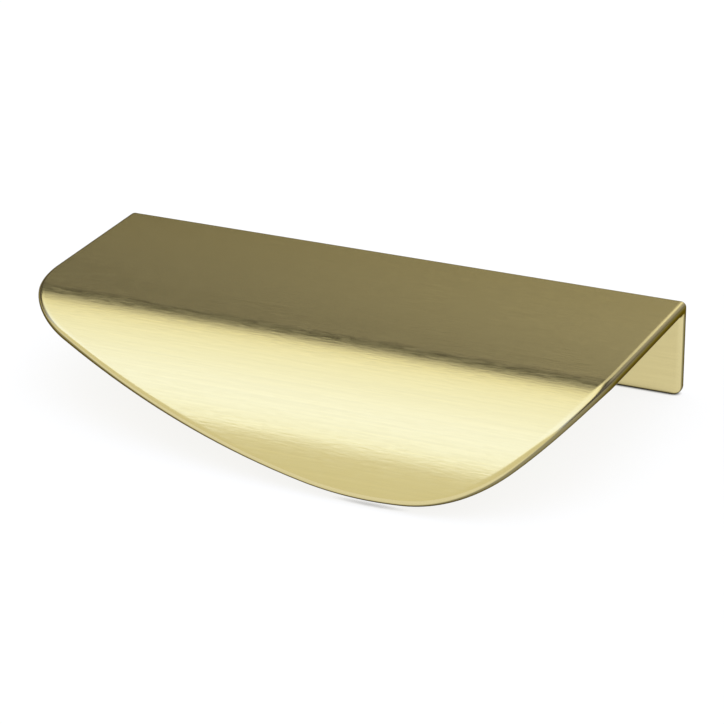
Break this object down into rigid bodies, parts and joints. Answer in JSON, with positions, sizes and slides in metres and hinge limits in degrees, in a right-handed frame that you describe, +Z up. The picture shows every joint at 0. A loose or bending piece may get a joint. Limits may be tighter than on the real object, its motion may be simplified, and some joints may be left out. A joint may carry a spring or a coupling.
{
  "type": "edge pull",
  "caption": "Curved metal edge pull: a slim flange hangs from a flat top plate whose front rolls down into a lopsided rounded lip.",
  "frame": {"origin": "on the flange's mounting face, midway between the screw holes", "axes": "+X along the length, -Y forward past the lip, +Z up, away from the door's edge"},
  "size_m": [0.1, 0.0604, 0.016],
  "materials": {
    "brushed_brass": "fine linear brushing along the length, clear satin coat"
  },
  "bodies": {
    "root": {"edge_pull": "brushed_brass"}
  },
  "joints": []
}
